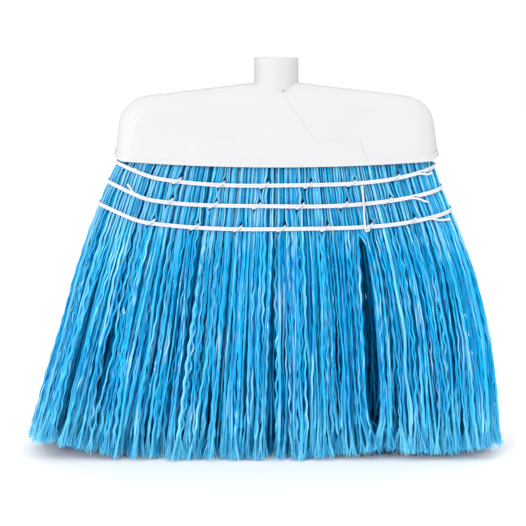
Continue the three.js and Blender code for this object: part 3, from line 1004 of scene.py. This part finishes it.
# x, distance out from the pack and rise of the needle thread on its way over the band
OVER_BAND = 2 * STAND_OFF + TWINE_RADIUS - 0.35
STITCH = ((-2.9, -2.4, -2.2), (-2.7, 0.4, -1.9), (-1.5, OVER_BAND - 0.3, -1.0), (0, OVER_BAND, -0.1),
          (1.5, OVER_BAND - 0.3, 0.8), (2.7, 0.4, 1.6), (2.9, -2.4, 1.9))
# x and z of the cut ends of the needle threads, near the left end of rows 1 and 2, from the tip inwards
STUBS = (
    ((-108.8, 224.0), (-107.2, 222.8), (-105.6, 221.4)),
    ((-114.0, 212.2), (-112.0, 209.8), (-110.2, 206.6)),
)
STUB_OUT = (1.3, 1.6, 0.6)
TUCKED_DEPTH = 4  # the run to the first stitch lies this far inside the pack and below the row
TUCKED_DROP = 2
TUCKED_GAPS = (4, 8)  # between that run and the cut end, and between it and the stitch
# the link twine: row, shift to the right, distance out from the row and drop below it
LINK_X = 65.5
LINK_RUN = (
    (0, 0, -1.6, -1), (0, 0, 1.2, 1.5), (0, 0, 1.2, 3.2), (0, 0.3, 0.2, 6), (0, 0.6, 0.2, 10),
    (1, 1.0, 1.9, -2.5), (1, 1.1, 2.4, 0), (1, 1.2, 1.9, 2.5), (1, 1.4, 0.4, 5.5), (1, 1.7, 0.2, 10),
    (2, 2.0, 0.6, -5), (2, 2.1, 2.0, -2.5), (2, 2.3, 2.5, 0), (2, 2.6, 2.0, 2.3), (2, 3.2, 0.8, 3.4),
)
KNOT_MIDDLE = (4.2, 2.6, 1.4)
KNOT_RADIUS = 1.25
KNOT_HALF_DEPTH = 0.9
KNOT_TURNS = 1.35
KNOT_POINTS = 15


def smooth_curve(points):
    """A Catmull-Rom curve through the points, sampled about every TWINE_STEP."""
    points = np.asarray(points, float)
    padded = np.concatenate([[2 * points[0] - points[1]], points, [2 * points[-1] - points[-2]]])
    knots = np.concatenate([[0], np.cumsum(np.linalg.norm(np.diff(padded, axis=0), axis=1) ** 0.5)])
    result = []
    for i in range(1, len(padded) - 2):
        p0, p1, p2, p3 = padded[i - 1 : i + 3]
        t0, t1, t2, t3 = knots[i - 1 : i + 3]
        steps = max(1, round(np.linalg.norm(p2 - p1) / TWINE_STEP))
        t = np.linspace(t1, t2, steps, endpoint=False)[:, None]
        a1 = (t1 - t) / (t1 - t0) * p0 + (t - t0) / (t1 - t0) * p1
        a2 = (t2 - t) / (t2 - t1) * p1 + (t - t1) / (t2 - t1) * p2
        a3 = (t3 - t) / (t3 - t2) * p2 + (t - t2) / (t3 - t2) * p3
        b1 = (t2 - t) / (t2 - t0) * a1 + (t - t0) / (t2 - t0) * a2
        b2 = (t3 - t) / (t3 - t1) * a2 + (t - t1) / (t3 - t1) * a3
        result.append((t2 - t) / (t2 - t1) * b1 + (t - t1) / (t2 - t1) * b2)
    result.append(padded[-2:-1])
    return np.concatenate(result)


def twine_tube(points):
    """One length of three-ply twine: its vertices, faces and the place along and round it."""
    curve = smooth_curve(points)
    up = np.array([0.03, 0.05, 1.0])  # tilted a little, so that no stretch of twine lies along it
    tangent, wide, thin = tube_frames(curve, np.broadcast_to(up, curve.shape))
    along = np.concatenate([[0], np.cumsum(np.linalg.norm(np.diff(curve, axis=0), axis=1))])
    angle = 2 * np.pi * np.arange(TWINE_SIDES) / TWINE_SIDES
    lay = 2 * np.pi * along / PLY_SPACING
    ring = TWINE_RADIUS * (1 + PLY_BULGE * np.cos(PLIES * angle - lay[:, None]))
    ring[[0, -1]] *= TWINE_END
    vertices = curve[:, None] + ring[..., None] * (
        wide[:, None] * np.cos(angle)[None, :, None] + thin[:, None] * np.sin(angle)[None, :, None]
    )
    quads, ends = tube_faces(1, len(curve), TWINE_SIDES)
    place = np.stack([TWINE_RADIUS * angle + 0 * ring, along[:, None] + 0 * ring, 0 * ring], axis=-1)
    return vertices.reshape(-1, 3), quads, ends, place.reshape(-1, 3)


def twine_piece(name, node, points):
    """One length of twine, which stands for one CAD node."""
    vertices, quads, ends, place = twine_tube(points)
    obj = new_object(name, vertices, [quads, ends], TWINE, {"place": ("FLOAT_VECTOR", place)})
    outwards(obj)
    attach(obj, "root")
    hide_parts(node)


def band_turn(row):
    """Points of one turn round the pack, from the front right, leftwards, and back to the right."""
    row_z = row[0]
    half_width = read(FAN_WIDTH, row_z + ROW_RISE) + PLAN_GAP
    half_depth = read(FAN_DEPTH, row_z) + STAND_OFF
    radius = END_RADIUS + STAND_OFF
    x_end, y_end = half_width - radius, half_depth - radius
    quarter = np.linspace(0, np.pi / 2, CORNER_POINTS + 2)[1:-1]
    plan = [(x, -half_depth) for x in np.linspace(x_end, -x_end, FACE_POINTS)]
    plan += [(-x_end - radius * math.sin(a), -y_end - radius * math.cos(a)) for a in quarter]
    plan += [(-x_end - radius, -y_end), (-x_end - radius, y_end)]
    plan += [(-x_end - radius * math.cos(a), y_end + radius * math.sin(a)) for a in quarter]
    plan += [(x, half_depth) for x in np.linspace(-x_end, x_end, FACE_POINTS)]
    plan += [(x_end + radius * math.sin(a), y_end + radius * math.cos(a)) for a in quarter]
    plan += [(x_end + radius, y_end), (x_end + radius, -y_end)]
    plan += [(x_end + radius * math.cos(a), -y_end - radius * math.sin(a)) for a in quarter]
    plan = np.array(plan)
    z = row_height(row, plan[:, 0])
    spread = (fan_half_width(plan[:, 0], z) + SIDE_GAP) / half_width
    return np.column_stack([plan[:, 0] * spread, plan[:, 1], z])


def band(i):
    """Two turns of twine, side by side, which cross over at the back, and the cut end on the front right."""
    turn = band_turn(ROWS[i])
    count = len(turn)
    start = int(np.argmax(turn[:, 0] < TAILS[i][0][0] - 3))  # the tail leaves the turn just right of here
    index = np.arange(start, start + 2 * count)
    points = turn[index % count].copy()
    turns = index / count
    over = smoothstep(turns - 1, *CROSSING)
    side = 2 * smoothstep(turns, *CROSSING) - 2 * over - 1
    sway, sway_length = BAND_SWAY
    points[:, 2] += TURN_SPACING / 2 * side + sway * np.sin(points[:, 0] / sway_length + 3 * i)
    points[:, 1] += LIFT * np.sin(np.pi * over)
    points[-1, 1] += END_TUCK
    front = -read(FAN_DEPTH, ROWS[i][0]) - STAND_OFF
    tail = [(x, front - out, z) for (x, z), out in zip(TAILS[i][::-1], TAIL_OUT)]
    twine_piece(f"row_{i + 1}_band", f"row_{i + 1}_band_twine", np.concatenate([tail, points]))


def stitch_points(row, x, face):
    """The needle thread over the band at one stitch, on one face, slanting up to the right."""
    surface = read(FAN_DEPTH, row[0])
    z = row_height(row, x)
    return [(x - face * aside, face * (surface + out), z + rise) for aside, out, rise in STITCH]


def needle_thread(i):
    """One thread sewn back and forth through the pack, over the band on the front and on the back in turn."""
    row = ROWS[i]
    points = needle_tail(i) if i < len(STUBS) else []
    front_places = stitch_places(row, -1)
    for front_x, back_x in zip(front_places, stitch_places(row, 1)):
        points += stitch_points(row, front_x, -1)
        points += stitch_points(row, back_x, 1)[::-1]
    points += stitch_points(row, front_places[-1], -1)
    twine_piece(f"row_{i + 1}_thread", f"row_{i + 1}_needle_thread", points)


def needle_tail(i):
    """The short cut end of a needle thread, from under the band, and its run to the first stitch."""
    row = ROWS[i]
    front = -read(FAN_DEPTH, row[0])
    first = stitch_places(row, -1)[0]
    cut_end = [(x, front - out, z) for (x, z), out in zip(STUBS[i], STUB_OUT)]
    tucked_x = (STUBS[i][-1][0] + TUCKED_GAPS[0], first - TUCKED_GAPS[1])
    tucked_run = [(x, front + TUCKED_DEPTH, row_height(row, x) - TUCKED_DROP) for x in tucked_x]
    return cut_end + tucked_run


def link_point(i, right, out, drop):
    """A place on the link twine, from the front of row i."""
    row = ROWS[i]
    return LINK_X + right, -read(FAN_DEPTH, row[0]) - STAND_OFF - out, row_height(row, LINK_X) - drop


def link():
    """The twine that ties the rows together: down from row 1, round row 2 and knotted under row 3."""
    points = [link_point(*place) for place in LINK_RUN]
    right, out, drop = KNOT_MIDDLE
    for turned in 2 * math.pi * KNOT_TURNS * np.linspace(0, 1, KNOT_POINTS):
        aside = KNOT_RADIUS * math.cos(turned)
        ahead = KNOT_HALF_DEPTH * math.sin(turned / 2)
        below = KNOT_RADIUS * math.sin(turned)
        points.append(link_point(2, right + aside, out + ahead, drop + below))
    twine_piece("link_knot", "link_twine", points)


def add_twine():
    for i in range(len(ROWS)):
        band(i)
        needle_thread(i)
    link()


# ---- Stage ----
def studio_world():
    """White behind the object, dim as a light, and shining only from above the horizon."""
    world = bpy.data.worlds.new("studio")
    world.use_nodes = True
    nodes, links = world.node_tree.nodes, world.node_tree.links
    background = nodes["Background"]
    background.inputs["Color"].default_value = (1, 1, 1, 1)
    path = nodes.new("ShaderNodeLightPath")
    direction = nodes.new("ShaderNodeTexCoord")
    split = nodes.new("ShaderNodeSeparateXYZ")
    links.new(direction.outputs["Generated"], split.inputs["Vector"])
    above = nodes.new("ShaderNodeMapRange")
    above.inputs["From Min"].default_value = 0.0
    above.inputs["From Max"].default_value = 0.1
    links.new(split.outputs["Z"], above.inputs["Value"])
    lit = calculated(nodes, links, "MULTIPLY_ADD", path.outputs["Is Glossy Ray"], 0.08, 0.2)
    sky = calculated(nodes, links, "MULTIPLY", lit, above.outputs["Result"])
    seen = calculated(nodes, links, "MAXIMUM", sky, path.outputs["Is Camera Ray"])
    links.new(seen, background.inputs["Strength"])
    return world


# name, azimuth from the front (left is negative), elevation, angular size in degrees and strength
LAMPS = (
    ("low_key", -60, 6, 40, 0.88),
    ("high_key", -45, 30, 30, 0.45),
    ("glint", -25, 20, 5, 0.92),
    ("front_top", 5, 52, 70, 0.6),
    ("top", 0, 84, 100, 1.55),
    ("fill", 75, 10, 60, 1.4),
    ("left_rim", -100, 8, 50, 0.15),
    ("back", 170, 30, 90, 1.4),
)
SOFT_LAMPS = ("front_top", "top", "fill", "left_rim", "back")  # these light the strands without a shine
FLOOR_HALF = 6000


def add_lamps():
    for name, azimuth, elevation, angle, strength in LAMPS:
        data = bpy.data.lights.new(name, "SUN")
        data.angle = math.radians(angle)
        data.energy = strength
        lamp = bpy.data.objects.new(name, data)
        lamp.rotation_euler = (math.radians(90 - elevation), 0, math.radians(azimuth))
        lamp.visible_glossy = name not in SOFT_LAMPS
        bpy.context.scene.collection.objects.link(lamp)


def add_camera():
    data = bpy.data.cameras.new("camera")
    data.sensor_width = 36
    data.lens = CAMERA_LENS
    camera = bpy.data.objects.new("camera", data)
    camera.location = [place * MM for place in CAMERA]
    camera.rotation_euler = (math.radians(90 - CAMERA_PITCH), 0, 0)
    bpy.context.scene.collection.objects.link(camera)
    bpy.context.scene.camera = camera


def add_stage():
    bpy.context.scene.view_settings.view_transform = "Standard"
    bpy.context.scene.world = studio_world()
    corners = [(FLOOR_HALF * x, FLOOR_HALF * y, 0) for x, y in ((-1, -1), (1, -1), (1, 1), (-1, 1))]
    floor = new_object("studio_floor", corners, [np.array([[0, 1, 2, 3]])], floor_material(), smooth=False)
    floor.visible_glossy = False
    add_lamps()
    add_camera()


add_strands()
cap()
add_twine()
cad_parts["fused_fibre_block"].data.materials[0] = fused_material()
add_stage()
